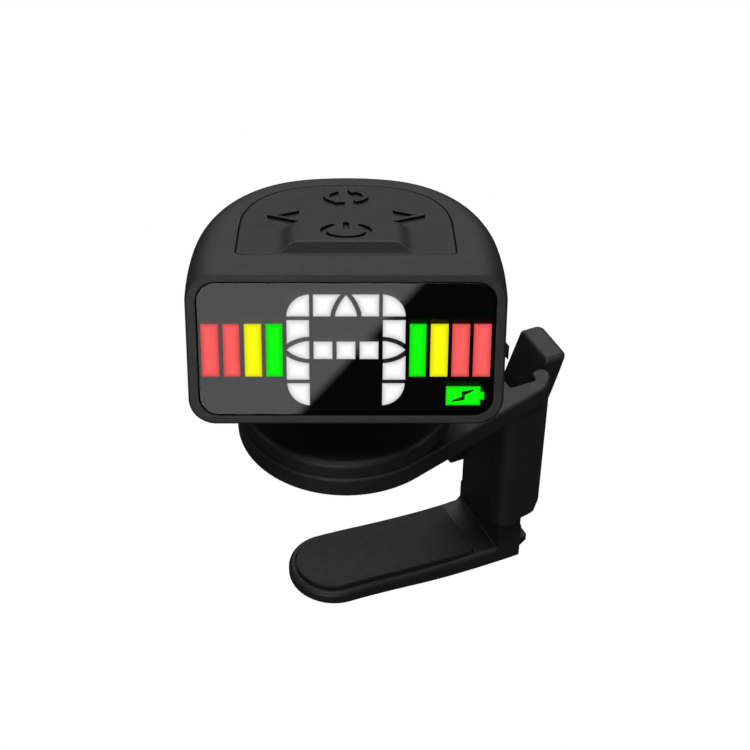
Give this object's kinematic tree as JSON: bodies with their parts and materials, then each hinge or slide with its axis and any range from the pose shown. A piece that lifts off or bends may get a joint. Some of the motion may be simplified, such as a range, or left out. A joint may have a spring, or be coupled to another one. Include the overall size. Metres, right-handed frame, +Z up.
{
  "type": "clip-on instrument tuner",
  "caption": "Clip-on headstock tuner: a D-shaped display head on a swivelling, tilting base, held by a padded sliding-jaw clamp with a release lever.",
  "frame": {"origin": "on the head's swivel axis, in the face of the upper jaw's rubber pad", "axes": "+Z up, from the lower jaw towards the head; +X from the swivel axis towards the clamp's post; at rest the display faces -Y turned by 24.6 degrees towards -X and leans back by 15.3 degrees"},
  "size_m": [0.0558, 0.045, 0.0659],
  "materials": {
    "body_plastic": "fine spark-eroded texture, moulded black ABS",
    "jaw_rubber": "soft black rubber, low sheen",
    "keypad_silicone": "matte black silicone",
    "key_mark": "satin black silicone signs",
    "window": "glossy smoked acrylic window",
    "display": "display panel with coloured segments",
    "diffuser": "milky light guide",
    "steel": "zinc-plated or stainless steel",
    "brass": "brass disc with a ceramic layer",
    "board": "green solder mask",
    "cell_foil": "aluminium laminate pouch",
    "foam": "closed-cell foam",
    "acetal": "natural acetal, low friction"
  },
  "bodies": {
    "clamp": {"clamp_body": "body_plastic", "upper_jaw_pad": "jaw_rubber", "lever_pin": "steel", "lever_spring": "steel"},
    "jaw": {"lower_jaw": "body_plastic", "lower_jaw_pad": "jaw_rubber"},
    "lever": {"release_lever": "body_plastic"},
    "turntable_body": {"turntable": "body_plastic", "glide_ring": "acetal", "wave_washer": "steel", "retaining_washer": "steel", "swivel_screw": "steel", "hinge_pin": "steel", "hinge_washers": "acetal"},
    "head": {"head_housing": "body_plastic", "bottom_cover": "body_plastic", "cover_screws": "steel", "window": "window", "display_gasket": "foam", "display_panel": "display", "backlight": "diffuser", "keypad": "keypad_silicone", "key_board": "board", "key_switches": "steel", "battery": "cell_foil", "main_board": "board", "charge_socket": "steel", "pickup_disc": "brass"},
    "power_button": {"power_key": "key_mark"},
    "mode_button": {"mode_key": "key_mark"},
    "left_button": {"left_key": "key_mark"},
    "right_button": {"right_key": "key_mark"}
  },
  "joints": [
    {"name": "jaw_slide", "type": "slide", "parent": "clamp", "child": "jaw", "axis": [0, 0, 1], "range_m": [0, 0.0165]},
    {"name": "release_press", "type": "hinge", "parent": "clamp", "child": "lever", "pos_m": [0.02675, 0, -0.0065], "axis": [0, -1, 0], "range_deg": [0, 7], "stiffness_Nm_per_rad": 0.3, "deforming": ["lever_spring"]},
    {"name": "head_swivel", "type": "hinge", "parent": "clamp", "child": "turntable_body", "pos_m": [0, 0, 0.00385], "axis": [0, 0, 1], "continuous": true},
    {"name": "head_tilt", "type": "hinge", "parent": "turntable_body", "child": "head", "pos_m": [0, 0, 0.0092], "axis": [0.9092, -0.4163, 0], "range_deg": [-2, 25]},
    {"name": "power_press", "type": "slide", "parent": "head", "child": "power_button", "axis": [-0.1098, -0.2399, -0.9646], "range_m": [0, 0.0004], "stiffness_N_per_m": 400},
    {"name": "mode_press", "type": "slide", "parent": "head", "child": "mode_button", "axis": [-0.1098, -0.2399, -0.9646], "range_m": [0, 0.0004], "stiffness_N_per_m": 400},
    {"name": "left_press", "type": "slide", "parent": "head", "child": "left_button", "axis": [-0.1098, -0.2399, -0.9646], "range_m": [0, 0.0004], "stiffness_N_per_m": 400},
    {"name": "right_press", "type": "slide", "parent": "head", "child": "right_button", "axis": [-0.1098, -0.2399, -0.9646], "range_m": [0, 0.0004], "stiffness_N_per_m": 400}
  ]
}
